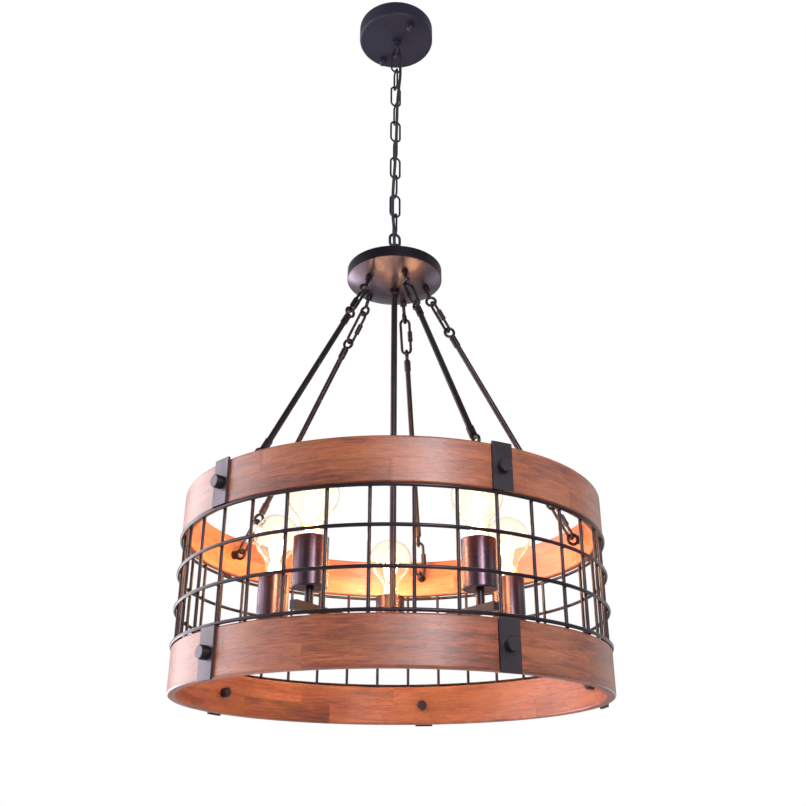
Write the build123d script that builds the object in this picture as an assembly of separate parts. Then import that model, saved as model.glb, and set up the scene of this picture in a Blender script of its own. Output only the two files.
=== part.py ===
from build123d import *
import math
import os

# Drum chandelier: a wooden drum with a wire cage, hung by five rods and a chain from a ceiling canopy.
# Lengths are millimetres, angles are degrees. The ceiling is the plane z = 0 and the lamp hangs along -Z.

# Clearances
running_gap = 0.3       # between pieces that swing or slide on each other
seat_gap = 0.1          # between fixed pieces whose curved faces meet
thread_gap = 0.1        # between a thread and its hole, on the radius
open_pivot_gap = 0.9    # slack of each lower link on its eye bolt, where the rod linkage is open
weld_gap = 0.1          # between a cage wire and its hoop

# Canopy and ceiling bracket
canopy_diameter = 118
canopy_height = 25
canopy_wall = 1.2
canopy_edge_radius = 3
bracket_width = 20
bracket_thickness = 2.5
bracket_turn = -60      # from the box screws' line to the canopy's studs
box_screw_spacing = 67
box_screw_diameter = 4.8
box_slot_travel = 5
stud_edge_distance = 15
stud_diameter = 4
stud_flange = 8
stud_flange_height = 3
cap_nut_diameter = 11
cap_nut_height = 8
terminal_size = (18, 12, 9)

# Threaded tube shared by the loops, the stem and their nuts
thread_diameter = 8.5
thread_bore_play = 1    # between the cord and the bore that it passes
nut_width = 14
nut_height = 4.5

# Loops and chain
loop_wire = 4
loop_width = 22
canopy_loop_drop = 27.5
canopy_collar_diameter = 15
canopy_collar_height = 6
link_count = 10
link_wire = 3
link_inner_length = 35.3
link_width = 17.6
chain_turn = 18

# Supply cord
cord_diameter = 4.6
cord_link_gap = 0.9
cord_cross_link = 5     # the link in front of which the cord changes sides
cord_hole = 7
bushing_flange = 11
bushing_height = 5

# Dish above the rods
dish_loop_rise = 62.3
dish_loop_width = 19
dish_loop_inner_length = 18
dish_collar_diameter = 14
dish_radius = 67.4
dish_rim_height = 15.5
dish_depth = 17
dish_wall = 1.5
dish_cover_rise = 18
dish_cover_wall = 1.2

# Eyes, quick links and rods
eye_wire = 4
eye_hole = 9
eye_shank = 5
eye_collar_diameter = 10
eye_collar_height = 6
eye_nut_width = 9
eye_nut_height = 3.5
dish_eye_circle = 52
dish_eye_drop = 33
dish_eye_turn = 72.5
quick_link_wire = 4
quick_link_inner_length = 45.6
quick_link_width = 17
sleeve_diameter = 7
sleeve_length = 15
rod_diameter = 7.5
rod_ferrule_diameter = 9.5
rod_ferrule_length = 15
hanger_count = 5

# Drum
drum_drop = 345.5         # from the dish rim's lower edge down to the top of the drum
drum_diameter = 520
drum_height = 234.5
ring_height = 51.5
ring_wall = 11
ring_edge_radius = 2.5
hoop_wire = 4
hoop_count = 4
hoop_edge_distance = 2.6
cage_wire = 4
cage_wire_count = 36
cage_wire_turn = 4.1
cage_wire_tip_gap = 0.4
strap_width = 24
strap_thickness = 3
strap_overhang = 1.5
strap_turn = 79.2
knob_diameter = 15
knob_height = 8
knob_chamfer = 1
bolt_diameter = 6
hook_collar_diameter = 12
hook_collar_height = 4
hook_eye_inset = 12     # from the ring's inner face to the centre of its eye
lower_nut_diameter = 12
lower_nut_height = 9

# Lamp cluster
lamp_circle = 320
lamp_turn = 90.5
lamp_count = 5
lamp_drop = 73.5        # from the top of the drum down to the rim of a socket cup
cup_height = 57
cup_diameter = 40
cup_edge_radius = 2
cup_wall = 1.2
nipple_diameter = 8
nipple_bore = 4.5
nipple_rise = 17
nipple_spacer_diameter = 10
arm_size = 9.5
arm_wall = 1.4
arm_overhang = 26
hub_diameter = 52
hub_wall = 4
hub_top_margin = 8
hub_floor_margin = 6
hub_cover_height = 3
hub_finial_diameter = 12
hub_finial_height = 9
lead_diameter = 2.4
stem_collar_diameter = 15
stem_collar_height = 7
stem_cable_diameter = 4.4

# Bulbs and lampholders
bulb_diameter = 60
bulb_neck_drop = 42     # from the centre of the globe down to the straight neck
bulb_neck_length = 7.5
bulb_neck_inset = 0.5   # of the neck from the outside of the screw base
bulb_glass = 0.9
base_height = 28.5
base_diameter = 26
base_wall = 0.8
base_contact_diameter = 10
base_contact_height = 1.5
base_cone_height = 4
base_collar_rise = 3
holder_wall = 1.4
holder_rim_drop = 1.5
holder_stub_diameter = 16
holder_stub_height = 10
shell_wall = 0.4

# Heights worked out from the sizes above
canopy_face = -canopy_height
chain_seat = canopy_face - canopy_loop_drop
link_pitch = link_inner_length - running_gap
chain_end = chain_seat - link_count * link_pitch
dish_rim_top = chain_end + running_gap - dish_loop_rise
dish_rim_bottom = dish_rim_top - dish_rim_height
dish_bottom = dish_rim_bottom - dish_depth
dish_eye_level = dish_rim_bottom - dish_eye_drop
drum_top = dish_rim_bottom - drum_drop
drum_bottom = drum_top - drum_height
upper_ring_bottom = drum_top - ring_height
lower_ring_top = drum_bottom + ring_height
upper_bolt_level = drum_top - ring_height / 2
lower_bolt_level = drum_bottom + ring_height / 2
cup_rim = drum_top - lamp_drop
cup_bottom = cup_rim - cup_height
arm_top = cup_bottom - nipple_rise
arm_middle = arm_top - arm_size / 2
arm_bottom = arm_top - arm_size
hub_top = arm_top + hub_top_margin
hub_floor = arm_bottom - hub_floor_margin
bulb_shoulder = cup_rim + base_collar_rise
bulb_top = bulb_shoulder + bulb_neck_length + bulb_neck_drop + bulb_diameter / 2
bulb_foot = bulb_shoulder - base_height
holder_floor = bulb_foot - running_gap

# Radii worked out from the sizes above
thread_bore = cord_diameter + thread_bore_play
stud_circle = canopy_diameter - 2 * stud_edge_distance
bulb_neck_radius = base_diameter / 2 - bulb_neck_inset
shell_radius = base_diameter / 2 + running_gap + shell_wall
holder_bore = shell_radius + seat_gap
holder_radius = holder_bore + holder_wall
drum_radius = drum_diameter / 2
ring_inner = drum_radius - ring_wall
lamp_radius = lamp_circle / 2
dish_sphere = (dish_radius**2 + dish_depth**2) / (2 * dish_depth)
dish_centre = dish_bottom + dish_sphere
cage_radius = drum_radius - weld_gap - hoop_wire / 2 - cage_wire / 2
eye_radius = (eye_hole + eye_wire) / 2
hook_circle = ring_inner - hook_eye_inset
strap_inner = drum_radius + seat_gap
strap_outer = strap_inner + strap_thickness

# The cord meets the cover beside the dish loop's collar, in the chain's own turned frame
cord_entry_x = -dish_collar_diameter / 2 + cord_diameter / 2
cord_entry_y = -dish_collar_diameter / 2 - bushing_flange / 2
cord_entry_radius = math.hypot(cord_entry_x, cord_entry_y)
dish_terminal_y = -nut_width / math.sqrt(3) - 1 - terminal_size[1] / 2


def polar(radius, angle, height):
    """The point at this radius and angle about the Z axis."""
    return Vector(radius * math.cos(math.radians(angle)), radius * math.sin(math.radians(angle)), height)


def rod_between(radius, low, high):
    """An upright cylinder on the Z axis between two heights."""
    return Pos(0, 0, (low + high) / 2) * Cylinder(radius, high - low)


def tube_between(radius, bore, low, high):
    """An upright tube on the Z axis between two heights."""
    return rod_between(radius, low, high) - rod_between(bore, low - 1, high + 1)


def hex_nut(width, height, bore_radius):
    """A hexagon nut across its flats, standing on z = 0."""
    prism = extrude(RegularPolygon(width / 2, 6, major_radius=False), height)
    return prism - rod_between(bore_radius, -1, height + 1)


def copies(shape, count):
    """The shape and its equal copies around the Z axis."""
    return [Rot(0, 0, 360 / count * number) * shape for number in range(count)]


def eye_ring():
    """A round eye in the local YZ plane, centred on the origin."""
    return Rot(0, 90, 0) * Torus(eye_radius, eye_wire / 2)


def oval_link(inner_length, width, wire):
    """A wire link in the local XZ plane, centred on the origin: two legs and two half-round bends."""
    bend = (width - wire) / 2
    half = inner_length / 2 - bend + wire / 2
    top = revolve(Pos(bend, 0, half) * Circle(wire / 2), Axis((0, 0, half), (0, -1, 0)), 180)
    link = top + Rot(180, 0, 0) * top
    for side in (-bend, bend):
        link += Pos(side, 0, 0) * Cylinder(wire / 2, 2 * half)
    return link


def spun(outline):
    """A solid of revolution about Z from the lines and arcs of a closed outline in the XZ plane."""
    edges = [edge for line in outline for edge in line.edges()]
    return revolve(make_face(edges), Axis.Z, 360)


def at(radius, height):
    """A point of an outline: radius along X, height along Z."""
    return (radius, 0, height)


def arc_about(centre, radius, start, end):
    """An outline's arc about a centre, from one angle to another in the XZ plane."""
    points = []
    for angle in (start, (start + end) / 2, end):
        turn = math.radians(angle)
        points.append(at(centre[0] + radius * math.cos(turn), centre[1] + radius * math.sin(turn)))
    return ThreePointArc(*points)


def make_bracket():
    """A crossed plate: one arm is slotted for the box screws, the other carries the canopy's studs."""
    size = (bracket_width, bracket_thickness)
    box_arm = Box(box_screw_spacing + box_slot_travel + 2 * box_screw_diameter, *size)
    stud_arm = Box(stud_circle + 4 * stud_diameter, *size)
    for side in (-1, 1):
        slot = extrude(SlotCenterToCenter(box_slot_travel, box_screw_diameter), bracket_thickness, both=True)
        box_arm -= Pos(side * box_screw_spacing / 2, 0, 0) * slot
        stud_hole = Cylinder(stud_diameter / 2 + thread_gap, 2 * bracket_thickness)
        stud_arm -= Pos(side * stud_circle / 2, 0, 0) * stud_hole
    return Pos(0, 0, -bracket_thickness / 2) * (box_arm + Rot(0, 0, bracket_turn) * stud_arm)


def make_studs():
    stud = rod_between(stud_diameter / 2, canopy_face - cap_nut_height, -seat_gap)
    flange_top = -bracket_thickness
    stud += rod_between(stud_flange / 2, flange_top - stud_flange_height, flange_top)
    return [Rot(0, 0, bracket_turn) * Pos(side * stud_circle / 2, 0, 0) * stud for side in (-1, 1)]


def make_cap_nuts():
    radius = cap_nut_diameter / 2
    nut = rod_between(radius, canopy_face - cap_nut_height, canopy_face)
    nut += Pos(0, 0, canopy_face - cap_nut_height) * Sphere(radius)
    hole_end = canopy_face - cap_nut_height - seat_gap
    nut -= rod_between(stud_diameter / 2 + thread_gap, hole_end, canopy_face + 1)
    return [Rot(0, 0, bracket_turn) * Pos(side * stud_circle / 2, 0, 0) * nut for side in (-1, 1)]


def make_canopy():
    outer = rod_between(canopy_diameter / 2, canopy_face, 0)
    outer = fillet(outer.edges().group_by(Axis.Z)[0], canopy_edge_radius)
    inner = rod_between(canopy_diameter / 2 - canopy_wall, canopy_face + canopy_wall, 1)
    inner = fillet(inner.edges().group_by(Axis.Z)[0], max(canopy_edge_radius - canopy_wall, canopy_wall / 2))
    shell = outer - inner - rod_between(thread_diameter / 2 + thread_gap, canopy_face - 1, 1)
    for side in (-1, 1):
        hole = rod_between(stud_diameter / 2 + running_gap, canopy_face - 1, 1)
        shell -= Rot(0, 0, bracket_turn) * Pos(side * stud_circle / 2, 0, 0) * hole
    return shell


def make_canopy_loop():
    collar_bottom = canopy_face - canopy_collar_height
    inner_length = collar_bottom - chain_seat
    loop = oval_link(inner_length, loop_width, loop_wire)
    loop = Pos(0, 0, chain_seat + inner_length / 2) * Rot(0, 0, 90) * loop
    loop += rod_between(canopy_collar_diameter / 2, collar_bottom, canopy_face)
    loop += rod_between(thread_diameter / 2, canopy_face, canopy_face + canopy_wall + nut_height + 2)
    loop -= rod_between(thread_bore / 2, collar_bottom - 1, 0)
    return Rot(0, 0, chain_turn) * loop


def make_link(number):
    """One chain link; the odd ones lie in the plane of the dish loop and the even ones across it."""
    middle = chain_seat + running_gap - number * link_pitch - link_inner_length / 2
    link = oval_link(link_inner_length, link_width, link_wire)
    return Pos(0, 0, middle) * Rot(0, 0, chain_turn + 90 * (number % 2)) * link


def make_terminal(top):
    """A small terminal block under the height given."""
    length, width, height = terminal_size
    return Pos(0, 0, top - height / 2) * Box(length, width, height)


def cord_route():
    """Points of the supply cord: out of the loop, beside the links, over to the other side, to the dish."""
    side = max(loop_wire, link_wire) / 2 + cord_diameter / 2 + cord_link_gap
    front = link_wire / 2 + cord_diameter / 2 + cord_link_gap
    sway = cord_link_gap / 4
    cross_high = chain_seat - (cord_cross_link - 1) * link_pitch - link_wire + 0.5
    cross_low = chain_seat - cord_cross_link * link_pitch + link_wire - 0.5
    upper_run = chain_seat - cross_high
    lower_run = cross_low - chain_end
    return [
        Vector(0, 0, -bracket_thickness - terminal_size[2]),
        Vector(0, 0, canopy_face - canopy_collar_height - 3),
        Vector(side, -front, chain_seat + loop_wire),
        Vector(side + sway, -front - sway, chain_seat - upper_run / 3),
        Vector(side - sway, -front, chain_seat - upper_run * 2 / 3),
        Vector(side, -front - sway, cross_high),
        Vector(-side, -front - sway, cross_low),
        Vector(-side - sway, -front, cross_low - lower_run * 0.3),
        Vector(-side, -front - sway, cross_low - lower_run * 0.6),
        Vector(-side, -front, chain_end + link_pitch),
        Vector(cord_entry_x, cord_entry_y, chain_end - link_wire),
        Vector(cord_entry_x, cord_entry_y, dish_terminal_top()),
    ]


def make_cord():
    points = [Rot(0, 0, chain_turn) * Pos(point) for point in cord_route()]
    points = [place.position for place in points]
    radii = []
    for before, corner, after in zip(points, points[1:], points[2:]):
        turn = (corner - before).get_angle(after - corner)
        shorter = min((corner - before).length, (after - corner).length)
        radii.append(0.45 * shorter / math.tan(math.radians(turn / 2)))
    path = FilletPolyline(*points, radius=radii)
    start = Plane(origin=points[0], z_dir=points[1] - points[0])
    cord = sweep(start * Circle(cord_diameter / 2), path=path)
    ratio = cord.volume / (math.pi * cord_diameter**2 / 4 * path.length)
    print("supply cord: length", round(path.length, 1), "volume ratio", round(ratio, 4))
    print("supply cord: radii", [round(radius, 1) for radius in radii])
    return cord


def make_bowl():
    inner_sphere = dish_sphere - dish_wall
    inner_radius = dish_radius - dish_wall
    rim_angle = -math.degrees(math.acos(dish_radius / dish_sphere))
    inner_angle = -math.degrees(math.acos(inner_radius / inner_sphere))
    inner_edge = dish_centre + inner_sphere * math.sin(math.radians(inner_angle))
    bowl = spun([
        Line(at(dish_radius, dish_rim_top), at(dish_radius, dish_rim_bottom)),
        arc_about((0, dish_centre), dish_sphere, rim_angle, -90),
        Line(at(0, dish_bottom), at(0, dish_bottom + dish_wall)),
        arc_about((0, dish_centre), inner_sphere, -90, inner_angle),
        Line(at(inner_radius, inner_edge), at(inner_radius, dish_rim_top)),
        Line(at(inner_radius, dish_rim_top), at(dish_radius, dish_rim_top)),
    ])
    bowl -= rod_between(thread_diameter / 2 + thread_gap, dish_bottom - 1, dish_rim_bottom)
    hole = Cylinder(eye_shank / 2 + thread_gap, 8 * dish_wall)
    for frame in dish_eye_frames():
        bowl -= frame.location * Pos(0, 0, dish_eye_stand()) * hole
    return bowl


def dish_eye_frames():
    """A frame at each dish eye: X across the eye, Z along its shank towards the dish."""
    frames = []
    for number in range(hanger_count):
        angle = dish_eye_turn + 360 / hanger_count * number
        centre = polar(dish_eye_circle, angle, dish_eye_level)
        frames.append(Plane(centre, x_dir=polar(1, angle + 90, 0), z_dir=Vector(0, 0, dish_centre) - centre))
    return frames


def dish_eye_stand():
    """Distance from an eye's centre to the dish's outer face."""
    return math.hypot(dish_eye_circle, dish_centre - dish_eye_level) - dish_sphere


def make_dish_eyes():
    stand = dish_eye_stand()
    thread_end = stand + dish_wall + eye_nut_height + 2
    eye = eye_ring() + rod_between(eye_shank / 2, eye_radius, thread_end)
    eye += rod_between(eye_collar_diameter / 2, stand - eye_collar_height, stand)
    return [frame.location * eye for frame in dish_eye_frames()]


def make_dish_eye_nuts():
    inner_sphere = dish_sphere - dish_wall
    sag = (eye_nut_width / math.sqrt(3)) ** 2 / (2 * inner_sphere)
    seat = dish_eye_stand() + dish_wall + sag + seat_gap
    nut = Pos(0, 0, seat) * hex_nut(eye_nut_width, eye_nut_height, eye_shank / 2 + thread_gap)
    return [frame.location * nut for frame in dish_eye_frames()]


def cover_sphere():
    """Radius of the cover's outer sphere."""
    return (dish_radius**2 + dish_cover_rise**2) / (2 * dish_cover_rise)


def cover_height(radius):
    """Height of the cover's outer face at this radius."""
    sphere = cover_sphere()
    return dish_rim_top + dish_cover_rise - sphere + math.sqrt(sphere**2 - radius**2)


def make_cover():
    sphere = cover_sphere()
    centre = dish_rim_top + dish_cover_rise - sphere
    inner = sphere - dish_cover_wall
    inner_edge = math.sqrt(inner**2 - (dish_rim_top - centre) ** 2)
    rim_angle = math.degrees(math.acos(dish_radius / sphere))
    inner_angle = math.degrees(math.acos(inner_edge / inner))
    cover = spun([
        arc_about((0, centre), sphere, rim_angle, 90),
        Line(at(0, centre + sphere), at(0, centre + inner)),
        arc_about((0, centre), inner, 90, inner_angle),
        Line(at(inner_edge, dish_rim_top), at(dish_radius, dish_rim_top)),
    ])
    cover -= rod_between(thread_diameter / 2 + thread_gap, dish_rim_top, centre + sphere + 1)
    hole = rod_between(cord_hole / 2, dish_rim_top, centre + sphere + 1)
    return cover - Rot(0, 0, chain_turn) * Pos(cord_entry_x, cord_entry_y, 0) * hole


def make_dish_loop():
    inner_top = chain_end + running_gap
    inner_bottom = inner_top - dish_loop_inner_length
    cover_top = cover_height(0)
    loop = Pos(0, 0, inner_top - dish_loop_inner_length / 2)
    loop = loop * oval_link(dish_loop_inner_length, dish_loop_width, loop_wire)
    loop += rod_between(dish_collar_diameter / 2, cover_top, inner_bottom)
    loop += rod_between(thread_diameter / 2, cover_top - dish_cover_wall - nut_height - 3, cover_top)
    return Rot(0, 0, chain_turn) * loop


def make_bushing():
    """Flanged bushing that lines the cord's hole in the cover."""
    top = cover_height(cord_entry_radius + bushing_flange / 2 + 3) + bushing_height
    place = Rot(0, 0, chain_turn) * Pos(cord_entry_x, cord_entry_y, 0)
    low = cover_height(cord_entry_radius - bushing_flange / 2) + seat_gap
    bore = cord_diameter / 2 + seat_gap
    flange = tube_between(bushing_flange / 2, bore, low, max(top, low + bushing_height / 2))
    sleeve = tube_between(cord_hole / 2 - seat_gap, bore, dish_terminal_top(), low)
    return place * (flange + sleeve)


def dish_terminal_top():
    """Height of the terminal block's upper face, just under the cover at its outer corner."""
    length, width, _ = terminal_size
    reach = math.hypot(abs(cord_entry_x) + length / 2, abs(dish_terminal_y) + width / 2)
    sphere = cover_sphere()
    centre = dish_rim_top + dish_cover_rise - sphere
    return centre + math.sqrt((sphere - dish_cover_wall) ** 2 - reach**2) - seat_gap


def make_thread_nuts():
    """Three equal nuts: under the cover on the loop, in the bowl on the stem, and in the hub on the stem."""
    bore = thread_diameter / 2 + thread_gap
    sag = (nut_width / math.sqrt(3)) ** 2 / 2
    cover_sag = sag / (cover_sphere() - dish_cover_wall)
    under_cover = cover_height(0) - dish_cover_wall - cover_sag - seat_gap - nut_height
    in_bowl = dish_bottom + dish_wall + sag / (dish_sphere - dish_wall) + seat_gap
    in_hub = hub_top - hub_wall - nut_height
    nut = hex_nut(nut_width, nut_height, bore)
    return [Pos(0, 0, height) * nut for height in (under_cover, in_bowl, in_hub)]


def make_stem():
    top = dish_bottom + dish_wall + nut_height + 4
    bottom = hub_top - hub_wall - nut_height - 2
    return tube_between(thread_diameter / 2, thread_bore / 2, bottom, top)


def make_stem_collar():
    bore = thread_diameter / 2 + thread_gap
    ring = tube_between(stem_collar_diameter / 2, bore, dish_bottom - stem_collar_height, dish_bottom)
    return chamfer(ring.edges().group_by(Axis.Z)[0].sort_by(SortBy.LENGTH)[-1], 1.5)


def make_stem_cable():
    bottom = hub_top - hub_wall - nut_height - 4
    top = dish_bottom + dish_wall + nut_height + 8
    return rod_between(stem_cable_diameter / 2, bottom, top)


def make_hub():
    body = rod_between(hub_diameter / 2, hub_floor, hub_top)
    body = fillet(body.edges().group_by(Axis.Z)[-1], 3)
    body -= rod_between(hub_diameter / 2 - hub_wall, hub_floor - 1, hub_top - hub_wall)
    body -= rod_between(thread_diameter / 2 + thread_gap, hub_floor, hub_top + 1)
    window = arm_size + 2 * thread_gap
    slot = Pos(hub_diameter / 2, 0, arm_middle) * Box(4 * hub_wall, window, window)
    for cut in copies(Rot(0, 0, lamp_turn) * slot, lamp_count):
        body -= cut
    return body


def make_hub_cover():
    cover = rod_between(hub_diameter / 2, hub_floor - hub_cover_height, hub_floor)
    cover += rod_between(hub_diameter / 2 - hub_wall - running_gap, hub_floor, hub_floor + hub_cover_height)
    finial_low = hub_floor - hub_cover_height - hub_finial_height
    finial = rod_between(hub_finial_diameter / 2, finial_low, hub_floor - hub_cover_height)
    return cover + fillet(finial.edges().group_by(Axis.Z)[0], hub_finial_diameter / 4)


def make_arms():
    start = hub_diameter / 2 - hub_wall - 2
    length = lamp_radius + arm_overhang - start
    arm = Pos(start + length / 2, 0, arm_middle) * Box(length, arm_size, arm_size)
    bore_size = arm_size - 2 * arm_wall
    arm -= Pos(start + length / 2 - arm_wall, 0, arm_middle) * Box(length, bore_size, bore_size)
    arm -= Pos(lamp_radius, 0, 0) * rod_between(nipple_diameter / 2 + thread_gap, arm_middle, arm_top + 1)
    return copies(Rot(0, 0, lamp_turn) * arm, lamp_count)


def make_arm_leads():
    """One lamp lead on the floor of each hollow arm, from the hub and up its nipple into the lampholder."""
    start = hub_diameter / 2 - hub_wall - 2
    level = arm_bottom + arm_wall + lead_diameter / 2 + seat_gap
    path = FilletPolyline(at(start, level), at(lamp_radius, level), at(lamp_radius, nipple_top()),
                          radius=arm_size / 2 - arm_wall)
    lead = sweep(Plane(at(start, level), z_dir=(1, 0, 0)) * Circle(lead_diameter / 2), path=path)
    return copies(Rot(0, 0, lamp_turn) * lead, lamp_count)


def at_lamps(shape):
    """The shape, made on the Z axis, at every lamp."""
    return copies(Rot(0, 0, lamp_turn) * Pos(lamp_radius, 0, 0) * shape, lamp_count)


def nipple_top():
    """Height of a nipple's upper end, inside the stub of its lampholder."""
    return cup_bottom + cup_wall + holder_stub_height / 2


def make_nipples():
    """Threaded nipples with a plain spacer on which the cup stands clear of its arm."""
    nipple = tube_between(nipple_diameter / 2, nipple_bore / 2, arm_top - arm_wall - 1, nipple_top())
    spacer = tube_between(nipple_spacer_diameter / 2, nipple_bore / 2, arm_top + seat_gap, cup_bottom - seat_gap)
    return at_lamps(nipple + spacer)


def make_cups():
    """Straight cups with a flat floor and a rounded lower edge."""
    cup = rod_between(cup_diameter / 2, cup_bottom, cup_rim)
    cup = fillet(cup.edges().group_by(Axis.Z)[0], cup_edge_radius)
    floor = cup_bottom + cup_wall
    cup -= rod_between(cup_diameter / 2 - cup_wall, floor, cup_rim + 1)
    cup -= rod_between(nipple_diameter / 2 + thread_gap, cup_bottom - 1, floor + 1)
    return at_lamps(cup)


def make_holders():
    floor = cup_bottom + cup_wall
    body_low = floor + holder_stub_height
    top = cup_rim - holder_rim_drop
    holder = rod_between(holder_radius, body_low, top)
    holder += rod_between(holder_stub_diameter / 2, floor, body_low)
    holder -= rod_between(holder_bore, holder_floor, top + 1)
    holder -= rod_between(nipple_diameter / 2 + thread_gap, floor - 1, nipple_top() + seat_gap)
    return at_lamps(holder)


def make_holder_shells():
    shell = tube_between(shell_radius, shell_radius - shell_wall, holder_floor, cup_rim - holder_rim_drop)
    return at_lamps(shell)


def make_bulb_glass():
    """A hollow pear: a globe, a tangent hollow curve below it and a straight neck, one wall thick."""
    globe = bulb_diameter / 2
    middle = bulb_top - globe
    neck_top = middle - bulb_neck_drop
    neck_foot = bulb_shoulder
    hollow = (bulb_neck_drop**2 + bulb_neck_radius**2 - globe**2) / (2 * (globe - bulb_neck_radius))
    hollow_centre = (bulb_neck_radius + hollow, neck_top)
    tangent = math.degrees(math.atan2(bulb_neck_drop, bulb_neck_radius + hollow))
    inner_neck = bulb_neck_radius - bulb_glass
    glass = spun([
        Line(at(inner_neck, neck_foot), at(bulb_neck_radius, neck_foot)),
        Line(at(bulb_neck_radius, neck_foot), at(bulb_neck_radius, neck_top)),
        arc_about(hollow_centre, hollow, 180, 180 - tangent),
        arc_about((0, middle), globe, -tangent, 90),
        Line(at(0, bulb_top), at(0, bulb_top - bulb_glass)),
        arc_about((0, middle), globe - bulb_glass, 90, -tangent),
        arc_about(hollow_centre, hollow + bulb_glass, 180 - tangent, 180),
        Line(at(inner_neck, neck_top), at(inner_neck, neck_foot)),
    ])
    return at_lamps(glass)


def make_bulb_bases():
    """The bulb's screw base: a hollow cap with a cone and an end contact, open towards the glass."""
    radius, contact = base_diameter / 2, base_contact_diameter / 2
    neck, bore = bulb_neck_radius, bulb_neck_radius - base_wall
    cone_low = bulb_foot + base_contact_height
    cone_high = cone_low + base_cone_height
    base = spun([Polyline(
        at(0, bulb_foot),
        at(contact, bulb_foot),
        at(contact, cone_low),
        at(radius, cone_high),
        at(radius, bulb_shoulder - base_wall),
        at(neck, bulb_shoulder),
        at(bore, bulb_shoulder),
        at(bore, cone_high + base_wall),
        at(contact, cone_low + base_wall),
        at(0, cone_low + base_wall),
        at(0, bulb_foot),
    )])
    return at_lamps(base)


def make_wood_ring(bottom, bolt_level):
    ring = tube_between(drum_radius, ring_inner, bottom, bottom + ring_height)
    ends = ring.edges().group_by(Axis.Z)
    ring = fillet(ends[0] + ends[-1], ring_edge_radius)
    return cut_bolt_holes(ring, bolt_level)


def cut_bolt_holes(ring, level):
    """The shape with a bolt hole through it at every strap."""
    depth = 2 * (ring_wall + strap_thickness) + 8
    hole = Pos(drum_radius, 0, level) * Rot(0, 90, 0) * Cylinder(bolt_diameter / 2 + thread_gap, depth)
    for cut in copies(Rot(0, 0, strap_turn) * hole, hanger_count):
        ring -= cut
    return ring


def hoop_levels():
    low = lower_ring_top + hoop_edge_distance
    high = upper_ring_bottom - hoop_edge_distance
    return [low + (high - low) * number / (hoop_count - 1) for number in range(hoop_count)]


def make_hoops():
    return [Pos(0, 0, level) * Torus(drum_radius, hoop_wire / 2) for level in hoop_levels()]


def make_cage_wires():
    low, high = lower_ring_top + cage_wire_tip_gap, upper_ring_bottom - cage_wire_tip_gap
    wire = Pos(cage_radius, 0, 0) * rod_between(cage_wire / 2, low, high)
    return copies(Rot(0, 0, cage_wire_turn) * wire, cage_wire_count)


def make_straps(low, high, bolt_level):
    """Curved plates on the outside of a wood ring."""
    shell = tube_between(strap_outer, strap_inner, low, high)
    blank = Box(drum_radius / 2, strap_width, 2 * (high - low))
    plate = shell & Pos(drum_radius, 0, (low + high) / 2) * blank
    hole = Cylinder(bolt_diameter / 2 + thread_gap, 6 * strap_thickness)
    hole = Pos(drum_radius, 0, bolt_level) * Rot(0, 90, 0) * hole
    return copies(Rot(0, 0, strap_turn) * (plate - hole), hanger_count)


def at_bolts(shape, level):
    """The shape at every strap, its Z axis pointing outwards and its z = 0 on the drum's outer face."""
    place = Rot(0, 0, strap_turn) * Pos(drum_radius, 0, level) * Rot(0, 90, 0)
    return copies(place * shape, hanger_count)


def knob(bore_depth):
    """A round bolt head that stands on the strap, with a blind hole for the bolt."""
    seat = strap_outer - drum_radius + seat_gap
    head = rod_between(knob_diameter / 2, seat, seat + knob_height)
    head = chamfer(head.edges().group_by(Axis.Z)[-1], knob_chamfer)
    if bore_depth:
        head -= rod_between(bolt_diameter / 2 + thread_gap, seat - 1, seat + bore_depth)
    return head


def make_knobs():
    return at_bolts(knob(knob_height - 2), upper_bolt_level)


def make_eye_bolts():
    """Eye bolts through the upper ring: an eye inside, a collar on the wood and a thread into the knob."""
    seat = -ring_wall - hook_collar_diameter**2 / (8 * ring_inner) - seat_gap
    thread_end = strap_outer - drum_radius + knob_height - 3
    bolt = rod_between(bolt_diameter / 2, seat, thread_end)
    bolt += rod_between(hook_collar_diameter / 2, seat - hook_collar_height, seat)
    bolt += rod_between(eye_shank / 2, -ring_wall - hook_eye_inset + eye_radius, seat)
    eye = Pos(0, 0, -ring_wall - hook_eye_inset) * Rot(0, 0, 90) * eye_ring()
    return at_bolts(bolt + eye, upper_bolt_level)


def make_lower_bolts():
    head_seat = strap_outer - drum_radius + seat_gap
    shank = rod_between(bolt_diameter / 2, -ring_wall - lower_nut_height, head_seat + seat_gap)
    return at_bolts(knob(0) + shank, lower_bolt_level)


def make_lower_nuts():
    seat = -ring_wall - lower_nut_diameter**2 / (8 * ring_inner) - seat_gap
    nut = tube_between(lower_nut_diameter / 2, bolt_diameter / 2 + thread_gap, seat - lower_nut_height, seat)
    nut = chamfer(nut.edges().group_by(Axis.Z)[0].sort_by(SortBy.LENGTH)[-1], knob_chamfer)
    return at_bolts(nut, lower_bolt_level)


def hanger_frames():
    """A frame at each dish eye for its hanging rod: Z up along the rod, X level and across it."""
    frames = []
    for number in range(hanger_count):
        step = 360 / hanger_count * number
        high = polar(dish_eye_circle, dish_eye_turn + step, dish_eye_level)
        low = polar(hook_circle, strap_turn + step, upper_bolt_level)
        rise = high - low
        frames.append((Plane(high, x_dir=Vector(0, 0, 1).cross(rise), z_dir=rise), rise.length))
    return frames


def link_reach(gap):
    """Distance from an eye's centre to the inner end of a link that hangs in it with this gap."""
    return eye_hole / 2 - gap


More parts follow.
